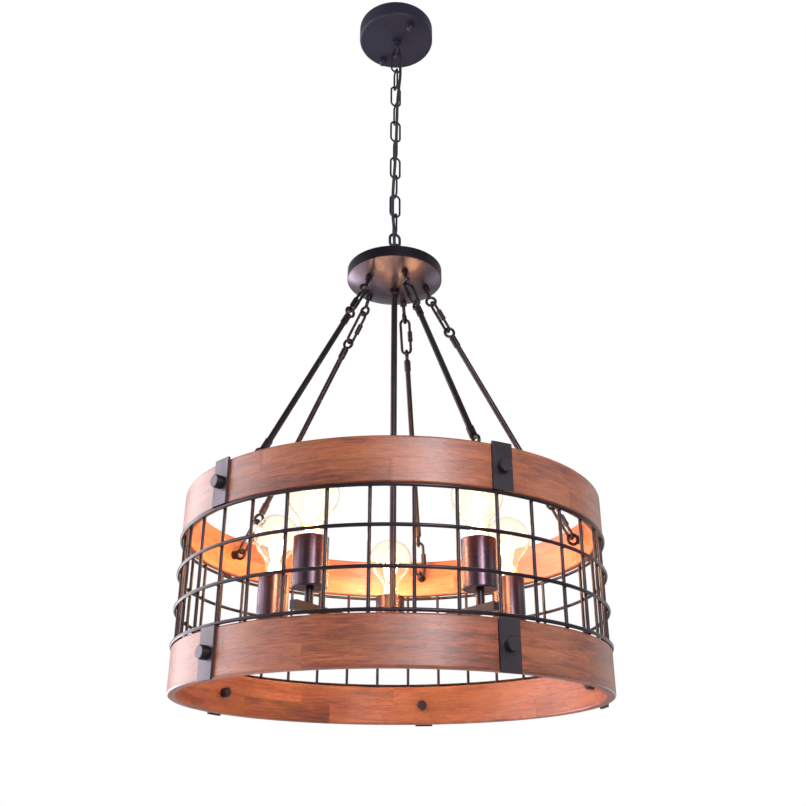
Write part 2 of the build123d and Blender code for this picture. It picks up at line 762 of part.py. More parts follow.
def make_quick_link():
    """A quick link and its threaded sleeve, in the local XZ plane."""
    link = oval_link(quick_link_inner_length, quick_link_width, quick_link_wire)
    bore = quick_link_wire / 2 + thread_gap
    leg = (quick_link_width - quick_link_wire) / 2
    sleeve = tube_between(sleeve_diameter / 2, bore, -sleeve_length / 2, sleeve_length / 2)
    return [link, Pos(leg, 0, 0) * sleeve]


def make_rod(length):
    """A hanging rod with its eyes and ferrules, in its dish eye's frame; length runs from eye to eye."""
    high = -quick_link_inner_length - 2 * link_reach(running_gap)
    low = -length + quick_link_inner_length + link_reach(running_gap) + link_reach(open_pivot_gap)
    rod = rod_between(rod_diameter / 2, low + eye_radius, high - eye_radius)
    for end, inward in ((high, -1), (low, 1)):
        rod += Pos(0, 0, end) * eye_ring()
        near = end + inward * (eye_radius + eye_wire / 2)
        far = near + inward * rod_ferrule_length
        rod += rod_between(rod_ferrule_diameter / 2, min(near, far), max(near, far))
    return rod


def make_hanger_links(length):
    upper = -link_reach(running_gap) - quick_link_inner_length / 2
    lower = -length + link_reach(open_pivot_gap) + quick_link_inner_length / 2
    return [Pos(0, 0, middle) * piece for middle in (upper, lower) for piece in make_quick_link()]


def save(node, shapes):
    """Write one node; a node of several solids is written as a group."""
    shapes = shapes if isinstance(shapes, list) else [shapes]
    export_step(shapes[0] if len(shapes) == 1 else Compound(children=shapes), f"parts/{node}.step")


os.makedirs("parts", exist_ok=True)

# Ceiling end
save("ceiling_bracket", make_bracket())
save("canopy_studs", make_studs())
save("canopy_cap_nuts", make_cap_nuts())
save("canopy", make_canopy())
save("canopy_loop", make_canopy_loop())
locknut = hex_nut(nut_width, nut_height, thread_diameter / 2 + thread_gap)
save("canopy_locknut", Pos(0, 0, canopy_face + canopy_wall) * locknut)
save("canopy_terminal", Rot(0, 0, bracket_turn) * make_terminal(-bracket_thickness))

# Chain and supply cord
links = [make_link(number) for number in range(link_count)]
save("chain_top_link", links[0])
save("chain_links", links[1:-1])
save("chain_bottom_link", links[-1])
save("supply_cord", make_cord())

# Dish
save("dish_bowl", make_bowl())
save("dish_cover", make_cover())
save("dish_loop", make_dish_loop())
save("cord_bushing", make_bushing())
terminal = Pos(cord_entry_x, dish_terminal_y, 0) * make_terminal(dish_terminal_top())
save("dish_terminal", Rot(0, 0, chain_turn) * terminal)
save("dish_eyes", make_dish_eyes())
save("dish_eye_nuts", make_dish_eye_nuts())
save("thread_nuts", make_thread_nuts())

# Stem and lamp cluster
save("stem", make_stem())
save("stem_collar", make_stem_collar())
save("stem_cable", make_stem_cable())
save("hub_body", make_hub())
save("hub_cover", make_hub_cover())
save("lamp_arms", make_arms())
save("arm_leads", make_arm_leads())
save("lamp_nipples", make_nipples())
save("socket_cups", make_cups())
save("lampholders", make_holders())
save("holder_shells", make_holder_shells())
for number, (glass, base) in enumerate(zip(make_bulb_glass(), make_bulb_bases()), 1):
    save(f"bulb_glass_{number}", glass)
    save(f"bulb_base_{number}", base)

# Drum
hoops = hoop_levels()
save("upper_wood_ring", make_wood_ring(upper_ring_bottom, upper_bolt_level))
save("lower_wood_ring", make_wood_ring(drum_bottom, lower_bolt_level))
save("cage_hoops", make_hoops())
save("cage_wires", make_cage_wires())
upper_strap_low = hoops[-1] + hoop_wire / 2 + seat_gap
lower_strap_high = hoops[0] - hoop_wire / 2 - seat_gap
save("upper_straps", make_straps(upper_strap_low, drum_top + strap_overhang, upper_bolt_level))
save("lower_straps", make_straps(drum_bottom - strap_overhang, lower_strap_high, lower_bolt_level))
save("strap_knobs", make_knobs())
save("eye_bolts", make_eye_bolts())
save("lower_bolts", make_lower_bolts())
save("lower_nuts", make_lower_nuts())

# Hanging rods and their quick links
for number, (frame, length) in enumerate(hanger_frames(), 1):
    save(f"hanging_rod_{number}", frame.location * make_rod(length))
    save(f"rod_links_{number}", [frame.location * piece for piece in make_hanger_links(length)])

# Points and axes of the joints
print("chain from", round(chain_seat, 2), "to", round(chain_end, 2))
print("drum from", round(drum_top, 2), "to", round(drum_bottom, 2))
top_pivot = chain_seat - loop_wire / 2
print("chain side sway: pivot", round(top_pivot, 3))
print("chain front sway: pivot", round(chain_seat - link_pitch - link_wire / 2, 3))
print("fixture front tilt: pivot", round(chain_end + link_pitch - link_wire / 2, 3))
print("fixture side tilt: pivot", round(chain_end - link_wire / 2, 3))
for number, (frame, length) in enumerate(hanger_frames(), 1):
    pivot = frame.origin - frame.z_dir * eye_radius
    axis = frame.z_dir.cross(frame.x_dir)
    print("rod", number, "pivot", [round(value, 3) for value in pivot])
    print("rod", number, "axis", [round(value, 5) for value in axis])
    print("rod", number, "swing per turn of the drum", round(hook_circle / (length - eye_radius), 5))
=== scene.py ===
# %% [markdown]
# Drum chandelier
#
# This lesson dresses a chandelier whose solids were already drawn in CAD: a canopy, a chain, a dish, five
# rods, and a drum of two wooden rings with a wire cage between them. The solids come in as a fixed frame,
# in metres, with the ceiling at z = 0. We give every one of them a finish, add the pieces that CAD leaves
# plain, and light it.

# %% Load the frame
import math

import bmesh
import bpy
import numpy as np
from mathutils import Matrix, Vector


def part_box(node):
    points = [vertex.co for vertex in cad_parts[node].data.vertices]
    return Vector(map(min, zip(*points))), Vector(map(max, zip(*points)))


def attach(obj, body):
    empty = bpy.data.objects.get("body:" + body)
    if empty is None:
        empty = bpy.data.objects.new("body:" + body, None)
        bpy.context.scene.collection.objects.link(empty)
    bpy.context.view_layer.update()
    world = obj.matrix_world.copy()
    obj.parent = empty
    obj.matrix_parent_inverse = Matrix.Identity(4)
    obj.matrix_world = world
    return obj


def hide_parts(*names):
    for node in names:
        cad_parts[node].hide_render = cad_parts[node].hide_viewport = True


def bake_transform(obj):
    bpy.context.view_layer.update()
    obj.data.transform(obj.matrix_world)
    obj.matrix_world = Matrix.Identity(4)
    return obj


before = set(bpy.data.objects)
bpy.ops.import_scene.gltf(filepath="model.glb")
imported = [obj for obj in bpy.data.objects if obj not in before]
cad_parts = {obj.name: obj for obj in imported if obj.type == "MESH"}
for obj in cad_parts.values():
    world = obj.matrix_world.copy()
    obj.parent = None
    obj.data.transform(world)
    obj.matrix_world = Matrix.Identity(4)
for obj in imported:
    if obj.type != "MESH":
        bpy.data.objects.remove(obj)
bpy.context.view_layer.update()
scene = bpy.context.scene
scene.view_settings.view_transform = "Standard"
lamps = range(1, 6)

# %% [markdown]
# The camera
#
# The photograph looks up at the lamp from a little over a metre away. Its place was worked out from the
# edges of the wooden rings, which are true circles, so their ellipses fix the height, the distance and
# the tilt.

# %% Camera
camera_place = (-0.0133, -1.1653, -1.2009)
camera_pitch = 24.418
camera_yaw = 1.270
camera_roll = 0.118
camera_lens = 42.348

camera_data = bpy.data.cameras.new("camera")
camera_data.lens = camera_lens
camera_data.sensor_width = 36.0
camera_data.clip_start = 0.01
camera = bpy.data.objects.new("camera", camera_data)
scene.collection.objects.link(camera)
yaw_turn = Matrix.Rotation(math.radians(-camera_yaw), 4, "Z")
pitch_turn = Matrix.Rotation(math.radians(90 + camera_pitch), 4, "X")
roll_turn = Matrix.Rotation(math.radians(camera_roll), 4, "Z")
camera.matrix_world = Matrix.Translation(camera_place) @ (yaw_turn @ pitch_turn) @ roll_turn
scene.camera = camera
print("camera at", camera_place)

# %% [markdown]
# The studio
#
# A hanging lamp needs no table. A pale floor lies far below, the world is white where the camera, the
# metal and the glass look into it, and eight soft boxes stand around. A large one on the left, with a fill
# beside it, is by far the brightest: in the photograph the left ends of the rings are washed out by it.
# Two strips near the camera draw the highlights in the front of the rings, two weak boxes on the right
# soften the shade, and two low ones behind light the dish from below.

# %% Floor
floor_reach = 6.0
floor_level = -1.9
floor_white = 0.75      # the share of plain white in the floor that the camera sees

corner_signs = ((-1, -1), (1, -1), (1, 1), (-1, 1))
floor_corners = [(x * floor_reach, y * floor_reach, floor_level) for x, y in corner_signs]
floor_mesh = bpy.data.meshes.new("floor")
floor_mesh.from_pydata(floor_corners, [], [(0, 1, 2, 3)])
floor = bpy.data.objects.new("floor", floor_mesh)
scene.collection.objects.link(floor)
floor_paint = bpy.data.materials.new("floor_paint")
floor_paint.use_nodes = True
floor_shader = floor_paint.node_tree.nodes["Principled BSDF"]
floor_shader.inputs["Base Color"].default_value = (0.86, 0.86, 0.87, 1)
floor_shader.inputs["Roughness"].default_value = 0.9
floor_nodes, floor_links = floor_paint.node_tree.nodes, floor_paint.node_tree.links
pale = floor_nodes.new("ShaderNodeEmission")
floor_rays = floor_nodes.new("ShaderNodeLightPath")
share = floor_nodes.new("ShaderNodeMath")
share.operation = "MULTIPLY"
share.inputs[1].default_value = floor_white
floor_links.new(floor_rays.outputs["Is Camera Ray"], share.inputs[0])
floor_mix = floor_nodes.new("ShaderNodeMixShader")
floor_links.new(share.outputs[0], floor_mix.inputs[0])
floor_links.new(floor_shader.outputs[0], floor_mix.inputs[1])
floor_links.new(pale.outputs[0], floor_mix.inputs[2])
floor_links.new(floor_mix.outputs[0], floor_nodes["Material Output"].inputs["Surface"])
floor_mesh.materials.append(floor_paint)
print("floor at", floor_level)

# %% World
room_strength = 0.22
mirrored_white = 0.2    # the share of the backdrop that glossy surfaces see

world = bpy.data.worlds.new("studio")
scene.world = world
world.use_nodes = True
world_nodes, world_links = world.node_tree.nodes, world.node_tree.links
world_nodes.clear()
backdrop = world_nodes.new("ShaderNodeBackground")
backdrop.inputs["Color"].default_value = (1, 1, 1, 1)
room = world_nodes.new("ShaderNodeBackground")
room.inputs["Color"].default_value = (0.93, 0.94, 1.0, 1)
room.inputs["Strength"].default_value = room_strength
rays = world_nodes.new("ShaderNodeLightPath")
seen = world_nodes.new("ShaderNodeMath")
seen.operation = "MAXIMUM"
world_links.new(rays.outputs["Is Camera Ray"], seen.inputs[0])
world_links.new(rays.outputs["Is Transmission Ray"], seen.inputs[1])
mirrored = world_nodes.new("ShaderNodeMath")
mirrored.operation = "MULTIPLY_ADD"
mirrored.use_clamp = True
mirrored.inputs[1].default_value = mirrored_white
world_links.new(rays.outputs["Is Glossy Ray"], mirrored.inputs[0])
world_links.new(seen.outputs[0], mirrored.inputs[2])
both = world_nodes.new("ShaderNodeMixShader")
world_links.new(mirrored.outputs[0], both.inputs[0])
world_links.new(room.outputs[0], both.inputs[1])
world_links.new(backdrop.outputs[0], both.inputs[2])
world_out = world_nodes.new("ShaderNodeOutputWorld")
world_links.new(both.outputs[0], world_out.inputs["Surface"])
print("world ready")


# %% Soft boxes
def soft_box(name, place, target, size, power, colour):
    """A rectangular area lamp at place, turned towards target; size is its width and height."""
    data = bpy.data.lights.new(name, "AREA")
    data.shape = "RECTANGLE"
    data.size, data.size_y = size
    data.energy = power
    data.color = colour
    lamp = bpy.data.objects.new(name, data)
    scene.collection.objects.link(lamp)
    away = Vector(np.subtract(place, target))
    lamp.matrix_world = Matrix.Translation(place) @ away.to_track_quat("Z", "Y").to_matrix().to_4x4()


drum_middle = (0.0, 0.0, -0.95)
dish_below = (0.0, 0.0, -0.5)
# name: place, target, size, power in watts, colour
soft_boxes = {
    "left_box": ((-2.0, 0.5, -0.7), drum_middle, (2.4, 2.0), 64, (1.0, 0.95, 1.0)),
    "left_fill": ((-1.9, -1.0, -0.7), drum_middle, (1.4, 1.8), 9, (1.0, 0.96, 1.0)),
    "front_strip": ((0.45, -1.4, -0.55), drum_middle, (0.3, 0.9), 15, (1.0, 0.94, 0.99)),
    "thin_strip": ((0.05, -1.45, -0.55), drum_middle, (0.2, 0.9), 3, (1.0, 0.95, 1.0)),
    "right_box": ((2.4, -0.4, -0.3), drum_middle, (1.2, 1.6), 7, (1.0, 0.97, 0.94)),
    "back_box": ((1.8, 1.4, -0.6), drum_middle, (1.2, 1.4), 3, (1.0, 0.97, 0.96)),
    "low_left_box": ((-1.5, 1.7, -1.55), dish_below, (1.0, 0.6), 17, (1.0, 0.95, 1.0)),
    "low_right_box": ((1.5, 1.7, -1.55), dish_below, (1.0, 0.6), 4, (1.0, 0.95, 1.0)),
}
for name, settings in soft_boxes.items():
    soft_box(name, *settings)
print(len(soft_boxes), "soft boxes")


# %% [markdown]
# Shader helpers
#
# Finishes share effects: the fine speckle of powder coat, the grain of timber. Each effect is a node
# group built once, and a material places it with its own values. These helpers keep the wiring short.

# %% Node helpers
def make_group(name, inputs, outputs):
    """An empty shader group with float inputs and the outputs named, and its two end nodes."""
    tree = bpy.data.node_groups.new(name, "ShaderNodeTree")
    for title, value in inputs.items():
        socket = tree.interface.new_socket(name=title, in_out="INPUT", socket_type="NodeSocketFloat")
        socket.default_value = value
    for title, kind in outputs.items():
        tree.interface.new_socket(name=title, in_out="OUTPUT", socket_type=kind)
    return tree, tree.nodes.new("NodeGroupInput"), tree.nodes.new("NodeGroupOutput")


def maths(tree, operation, first, second=None, third=None):
    """A Math node; each operand is a number or another node's output."""
    node = tree.nodes.new("ShaderNodeMath")
    node.operation = operation
    for slot, operand in zip(node.inputs, (first, second, third)):
        if isinstance(operand, (int, float)):
            slot.default_value = operand
        elif operand is not None:
            tree.links.new(operand, slot)
    return node.outputs[0]


def vector_of(tree, x, y, z):
    """A vector from three numbers or outputs."""
    node = tree.nodes.new("ShaderNodeCombineXYZ")
    for slot, operand in zip(node.inputs, (x, y, z)):
        if isinstance(operand, (int, float)):
            slot.default_value = operand
        else:
            tree.links.new(operand, slot)
    return node.outputs[0]


def noise(tree, vector, scale, detail=4.0, roughness=0.55):
    """A noise texture's value on a vector."""
    node = tree.nodes.new("ShaderNodeTexNoise")
    node.inputs["Scale"].default_value = scale
    node.inputs["Detail"].default_value = detail
    node.inputs["Roughness"].default_value = roughness
    tree.links.new(vector, node.inputs["Vector"])
    return node.outputs["Fac"]


def ramp(tree, factor, stops):
    """A colour ramp; stops are (position, colour)."""
    node = tree.nodes.new("ShaderNodeValToRGB")
    elements = node.color_ramp.elements
    while len(elements) < len(stops):
        elements.new(0.5)
    for element, (position, colour) in zip(elements, stops):
        element.position = position
        element.color = (*colour, 1.0)
    tree.links.new(factor, node.inputs["Fac"])
    return node.outputs["Color"]


def blended(tree, factor, first, second):
    """Two colours mixed by a factor."""
    node = tree.nodes.new("ShaderNodeMix")
    node.data_type = "RGBA"
    for title, operand in (("Factor", factor), ("A", first), ("B", second)):
        slot = node.inputs[title]
        if isinstance(operand, (int, float)):
            slot.default_value = operand
        elif isinstance(operand, tuple):
            slot.default_value = (*operand, 1.0)
        else:
            tree.links.new(operand, slot)
    return node.outputs["Result"]


def object_place(tree):
    """The Object coordinates as a vector and as x, y and z."""
    source = tree.nodes.new("ShaderNodeTexCoord")
    parts = tree.nodes.new("ShaderNodeSeparateXYZ")
    tree.links.new(source.outputs["Object"], parts.inputs[0])
    return source.outputs["Object"], parts.outputs["X"], parts.outputs["Y"], parts.outputs["Z"]


def axis_distance(tree, x, y):
    """The distance from the z axis: the root of x squared plus y squared."""
    squares = maths(tree, "ADD", maths(tree, "MULTIPLY", x, x), maths(tree, "MULTIPLY", y, y))
    return maths(tree, "SQRT", squares)


def new_finish(name, **sockets):
    """A material with a Principled shader and plain values on its sockets."""
    material = bpy.data.materials.new(name)
    material.use_nodes = True
    shader = material.node_tree.nodes["Principled BSDF"]
    for title, value in sockets.items():
        shader.inputs[title.replace("_", " ")].default_value = value
    return material, material.node_tree, shader


def use_group(tree, group, **values):
    """A group node in a material, with its own values."""
    node = tree.nodes.new("ShaderNodeGroup")
    node.node_tree = group
    for title, value in values.items():
        node.inputs[title.replace("_", " ")].default_value = value
    return node


def add_bump(tree, shader, height, strength, distance):
    """A bump from a height into the shader's normal."""
    node = tree.nodes.new("ShaderNodeBump")
    node.inputs["Strength"].default_value = strength
    node.inputs["Distance"].default_value = distance
    tree.links.new(height, node.inputs["Height"])
    tree.links.new(node.outputs["Normal"], shader.inputs["Normal"])


def dress(material, *nodes):
    """Give CAD nodes a finish."""
    for node in nodes:
        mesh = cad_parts[node].data
        mesh.materials.clear()
        mesh.materials.append(material)


print("helpers ready")

# %% [markdown]
# Powder coat
#
# All the metal is steel under a dark coat, with a fine orange peel and soft patches that are a little
# more rubbed and glossy. Canopy and chain are a plain powder coat, nearly black and faintly violet.
# Straps, cage, dish and cups shine more, so their coat counts as metal with a very dark colour. The dish
# is palest, and its rim band has painted shade: a darker colour that stands in for its dim reflection.

# %% Powder coat
coat_speckle, coat_in, coat_out = make_group(
    "coat_speckle", {"Peel": 900.0, "Patch": 22.0}, {"Peel": "NodeSocketFloat", "Rub": "NodeSocketFloat"})
place, *_ = object_place(coat_speckle)
peel = coat_speckle.nodes.new("ShaderNodeTexNoise")
peel.inputs["Detail"].default_value = 2.0
coat_speckle.links.new(place, peel.inputs["Vector"])
coat_speckle.links.new(coat_in.outputs["Peel"], peel.inputs["Scale"])
patch = coat_speckle.nodes.new("ShaderNodeTexNoise")
patch.inputs["Detail"].default_value = 5.0
coat_speckle.links.new(place, patch.inputs["Vector"])
coat_speckle.links.new(coat_in.outputs["Patch"], patch.inputs["Scale"])
coat_speckle.links.new(peel.outputs["Fac"], coat_out.inputs["Peel"])
rub = maths(coat_speckle, "SMOOTH_MIN", patch.outputs["Fac"], 0.75, 0.2)
coat_speckle.links.new(rub, coat_out.inputs["Rub"])

rub_gloss = 0.22        # how much smoother the most rubbed patches are than the least
peel_height = 0.0003


def coated_metal(name, dark, light, rough, peel_scale, metallic=0.0, peel_bump=0.25):
    """Coated steel: colour and roughness drift with the rub mask, and the peel gives the bump."""
    material, tree, shader = new_finish(name, Metallic=metallic)
    speckle = use_group(tree, coat_speckle, Peel=peel_scale)
    colour = ramp(tree, speckle.outputs["Rub"], [(0.3, dark), (0.7, light)])
    tree.links.new(colour, shader.inputs["Base Color"])
    gloss = maths(tree, "MULTIPLY_ADD", speckle.outputs["Rub"], -rub_gloss, rough + rub_gloss / 2)
    tree.links.new(gloss, shader.inputs["Roughness"])
    add_bump(tree, shader, speckle.outputs["Peel"], peel_bump, peel_height)
    return material


black_coat = coated_metal("black_coat", (0.010, 0.010, 0.021), (0.019, 0.019, 0.039), 0.46, 900.0)
strap_coat = coated_metal("strap_coat", (0.050, 0.043, 0.049), (0.085, 0.075, 0.086), 0.36, 900.0, 0.9)
dish_coat = coated_metal("dish_coat", (0.095, 0.078, 0.096), (0.140, 0.117, 0.141), 0.32, 700.0, 1.0)
cage_coat = coated_metal("cage_coat", (0.018, 0.013, 0.017), (0.036, 0.027, 0.034), 0.34, 1100.0, 0.8)
cup_coat = coated_metal("cup_coat", (0.072, 0.048, 0.060), (0.112, 0.078, 0.096), 0.27, 900.0, 1.0, 0.06)
black_coat.node_tree.nodes["Principled BSDF"].inputs["Specular IOR Level"].default_value = 0.28

dish_tree = dish_coat.node_tree
dish_shader = dish_tree.nodes["Principled BSDF"]
dish_colour = dish_shader.inputs["Base Color"].links[0].from_socket
_, dish_x, dish_y, _ = object_place(dish_tree)
# Painted shade: the rim band beyond this radius is coloured darker, so the dish's side shows less of its
# metallic reflection.
dish_rim_radius = 0.0664
painted_rim_shade = maths(dish_tree, "GREATER_THAN", axis_distance(dish_tree, dish_x, dish_y), dish_rim_radius)
dish_colour = blended(dish_tree, painted_rim_shade, dish_colour, (0.030, 0.026, 0.034))
dish_tree.links.new(dish_colour, dish_shader.inputs["Base Color"])

dress(black_coat, "ceiling_bracket", "canopy_studs", "canopy_cap_nuts", "canopy", "canopy_loop",
      "canopy_locknut", "chain_top_link", "chain_links", "chain_bottom_link", "dish_loop", "thread_nuts",
      "dish_eye_nuts")
dress(strap_coat, "upper_straps", "lower_straps", "strap_knobs", "lower_bolts", "lower_nuts")
dress(dish_coat, "dish_bowl", "dish_cover")
dress(cage_coat, "cage_hoops", "cage_wires", "dish_eyes", "eye_bolts", "stem", "stem_collar", "hub_body",
      "hub_cover", "lamp_arms", "lamp_nipples")
for lamp in lamps:
    dress(cage_coat, f"hanging_rod_{lamp}", f"rod_links_{lamp}")
dress(cup_coat, "socket_cups")
print("coated metal ready")

# %% [markdown]
# Timber
#
# The rings are bent from reddish-brown boards: two courses high, butt-jointed in staves, stained and
# lacquered. Grain runs round the ring. A noise that is slow in x and y and quick in z + r draws such
# lines on the outer and inner faces and on the narrow edges too, with no seam anywhere. Each stave gets
# its own tone and its own shift. Wide golden patches, dark pores and thin glue lines lie over the stain.

# %% Timber boards
ring_bottom = -1.0605
ring_spacing = 0.183
between_rings = -0.95
board_height = 0.0265
wave_count, wave_depth = 3.0, 0.28  # waves round the ring that make the staves unequal
course_shift = 0.437                # how far a course is turned against the one below it, in staves
stave_shift = 3.0                   # the grain of a stave starts anywhere up to this far along the noise

timber, timber_in, timber_out = make_group(
    "timber", {"Staves": 7.0, "Tone": 0.5},
    {"Colour": "NodeSocketColor", "Rough": "NodeSocketFloat", "Height": "NodeSocketFloat"})
_, px, py, pz = object_place(timber)
radius = axis_distance(timber, px, py)
angle = maths(timber, "ARCTAN2", py, px)
above_bottom = maths(timber, "WRAP", maths(timber, "ADD", pz, -ring_bottom), ring_spacing, 0.0)
board = maths(timber, "MULTIPLY", above_bottom, 1 / board_height)
upper_ring = maths(timber, "GREATER_THAN", pz, between_rings)
course = maths(timber, "ADD", maths(timber, "FLOOR", board), maths(timber, "MULTIPLY", upper_ring, 2.0))
turn_share = maths(timber, "MULTIPLY", angle, 1 / (2 * math.pi))
turned = maths(timber, "MULTIPLY", turn_share, timber_in.outputs["Staves"])
wave = maths(timber, "SINE", maths(timber, "ADD", maths(timber, "MULTIPLY", angle, wave_count), course))
uneven = maths(timber, "MULTIPLY", wave, wave_depth)
shifted = maths(timber, "MULTIPLY", course, course_shift)
along = maths(timber, "ADD", maths(timber, "ADD", turned, uneven), shifted)
stave = maths(timber, "FLOOR", along)
chance = timber.nodes.new("ShaderNodeTexWhiteNoise")
chance.noise_dimensions = "2D"
timber.links.new(vector_of(timber, stave, course, 0.0), chance.inputs["Vector"])
shift = maths(timber, "MULTIPLY", chance.outputs["Value"], stave_shift)
across = maths(timber, "ADD", maths(timber, "ADD", pz, radius), shift)
print("timber boards ready")


# %% Timber grain
def grain_noise(lengthwise, crosswise, detail, roughness):
    """Noise stretched along the grain: slow in x and y, quick in z + r."""
    x = maths(timber, "MULTIPLY", px, lengthwise)
    y = maths(timber, "MULTIPLY", py, lengthwise)
    z = maths(timber, "MULTIPLY", across, crosswise)
    return noise(timber, vector_of(timber, x, y, z), 1.0, detail, roughness)


figure = grain_noise(8.0, 70.0, 3.0, 0.55)
lines = grain_noise(42.0, 560.0, 4.0, 0.7)
pores = grain_noise(150.0, 1500.0, 2.0, 0.5)
golden = grain_noise(11.0, 32.0, 2.0, 0.5)
print("timber grain ready")

# %% Timber colour
pore_start, pore_depth = 0.60, 0.4
figure_share, line_share, tone_share = 0.45, 0.55, 0.18
golden_start, golden_softness, golden_gain = 0.46, 0.1, 2.4
butt_line, glue_line, seam_depth = 0.4975, 0.489, 0.3

pore_mask = maths(timber, "MULTIPLY", maths(timber, "GREATER_THAN", pores, pore_start), pore_depth)
lightness = maths(timber, "SUBTRACT", chance.outputs["Value"], 0.5)
tone = maths(timber, "MULTIPLY", lightness, timber_in.outputs["Tone"])
broad = maths(timber, "MULTIPLY", figure, figure_share)
drawn = maths(timber, "ADD", broad, maths(timber, "MULTIPLY", lines, line_share))
mixed = maths(timber, "ADD", drawn, maths(timber, "MULTIPLY", tone, tone_share))
stain = ramp(timber, mixed, [(0.35, (0.072, 0.015, 0.005)), (0.46, (0.205, 0.045, 0.015)),
                             (0.54, (0.310, 0.078, 0.028)), (0.68, (0.450, 0.145, 0.060))])
golden_excess = maths(timber, "SUBTRACT", golden, golden_start)
golden_rise = maths(timber, "SMOOTH_MAX", golden_excess, 0.0, golden_softness)
golden_mask = maths(timber, "MULTIPLY", golden_rise, golden_gain)
stain = blended(timber, golden_mask, stain, (0.300, 0.098, 0.027))
stain = blended(timber, pore_mask, stain, (0.065, 0.016, 0.007))
butt_edge = maths(timber, "ABSOLUTE", maths(timber, "SUBTRACT", maths(timber, "FRACT", along), 0.5))
butt = maths(timber, "GREATER_THAN", butt_edge, butt_line)
glue_edge = maths(timber, "ABSOLUTE", maths(timber, "SUBTRACT", maths(timber, "FRACT", board), 0.5))
glue = maths(timber, "GREATER_THAN", glue_edge, glue_line)
seam = maths(timber, "MULTIPLY", maths(timber, "MAXIMUM", butt, glue), seam_depth)
timber.links.new(blended(timber, seam, stain, (0.05, 0.016, 0.008)), timber_out.inputs["Colour"])
timber.links.new(maths(timber, "MULTIPLY_ADD", lines, 0.30, 0.28), timber_out.inputs["Rough"])
raised = maths(timber, "MULTIPLY", lines, 0.6)
relief = maths(timber, "SUBTRACT", raised, maths(timber, "ADD", pore_mask, seam))
timber.links.new(relief, timber_out.inputs["Height"])
print("timber group with", len(timber.nodes), "nodes")

# %% Timber finish
stained_wood, tree, shader = new_finish("stained_wood", Coat_Weight=0.3, Coat_Roughness=0.3)
shader.inputs["Specular IOR Level"].default_value = 0.6
grain = use_group(tree, timber)
tree.links.new(grain.outputs["Colour"], shader.inputs["Base Color"])
tree.links.new(grain.outputs["Rough"], shader.inputs["Roughness"])
add_bump(tree, shader, grain.outputs["Height"], 0.35, 0.0004)
dress(stained_wood, "upper_wood_ring", "lower_wood_ring")
print("timber ready")

# %% [markdown]
# Bulbs, holders and cord jacket
#
# The bulbs are clear and lit. Light must leave them, so the glass lets shadow rays straight through. The
# screw caps are bright metal with rolled threads, which a bump of waves along z gives. Holders are dark
# mouldings.

# %% Glass and small finishes
def let_light_out(tree, shader):
    """Shadow rays meet a clear surface instead of the glass, so the lamp inside still lights the room."""
    passing = tree.nodes.new("ShaderNodeLightPath")
    through = tree.nodes.new("ShaderNodeBsdfTransparent")
    chosen = tree.nodes.new("ShaderNodeMixShader")
    tree.links.new(passing.outputs["Is Shadow Ray"], chosen.inputs[0])
    tree.links.new(shader.outputs[0], chosen.inputs[1])
    tree.links.new(through.outputs[0], chosen.inputs[2])
    tree.links.new(chosen.outputs[0], tree.nodes["Material Output"].inputs["Surface"])


bulb_glass, tree, shader = new_finish(
    "bulb_glass", Base_Color=(1.0, 0.965, 0.89, 1), Roughness=0.02, IOR=1.45, Transmission_Weight=1.0,
    Emission_Color=(1.0, 0.72, 0.36, 1), Emission_Strength=0.06)
let_light_out(tree, shader)

stem_glass, tree, shader = new_finish(
    "stem_glass", Base_Color=(1.0, 0.93, 0.80, 1), Roughness=0.08, IOR=1.45, Transmission_Weight=1.0,
    Emission_Color=(1.0, 0.66, 0.3, 1), Emission_Strength=0.4)
let_light_out(tree, shader)

hot_wire, *_ = new_finish(
    "hot_wire", Base_Color=(1.0, 0.75, 0.4, 1), Emission_Color=(1.0, 0.70, 0.34, 1), Emission_Strength=26.0)

cap_thread_pitch = 0.0036
rolled_cap, tree, shader = new_finish("rolled_cap", Metallic=1.0, Roughness=0.3)
place, _, _, height = object_place(tree)
rolled = maths(tree, "SINE", maths(tree, "MULTIPLY", height, 2 * math.pi / cap_thread_pitch))
tint = ramp(tree, noise(tree, place, 160.0), [(0.3, (0.62, 0.58, 0.50)), (0.7, (0.80, 0.77, 0.70))])
tree.links.new(tint, shader.inputs["Base Color"])
add_bump(tree, shader, rolled, 0.7, 0.0006)


def moulded(name, dark, light, rough):
    """A matte moulding or jacket whose colour drifts a little, with a fine grain."""
    material, tree, shader = new_finish(name, Roughness=rough)
    speckle = use_group(tree, coat_speckle, Peel=1400.0, Patch=60.0)
    colour = ramp(tree, speckle.outputs["Rub"], [(0.3, dark), (0.7, light)])
    tree.links.new(colour, shader.inputs["Base Color"])
    add_bump(tree, shader, speckle.outputs["Peel"], 0.2, 0.0002)
    return material


dark_moulding = moulded("dark_moulding", (0.020, 0.018, 0.018), (0.045, 0.040, 0.038), 0.5)
cord_jacket = moulded("cord_jacket", (0.010, 0.009, 0.010), (0.024, 0.021, 0.022), 0.46)
brass_shell = coated_metal("brass_shell", (0.55, 0.38, 0.16), (0.76, 0.56, 0.27), 0.32, 900.0, metallic=1.0)
dress(dark_moulding, "canopy_terminal", "dish_terminal", "cord_bushing", "lampholders")
dress(cord_jacket, "stem_cable", "arm_leads", "supply_cord")
dress(brass_shell, "holder_shells")
for lamp in lamps:
    dress(bulb_glass, f"bulb_glass_{lamp}")
    dress(rolled_cap, f"bulb_base_{lamp}")
print("bulb finishes ready")


# %% [markdown]
# Surfaces from arrays
#
# Every new piece is a grid of points worked out with numpy: rows along the piece, columns around it. One
# helper turns such a grid into a mesh, another carries a circle along a path, and a third turns a profile
# about an upright line.

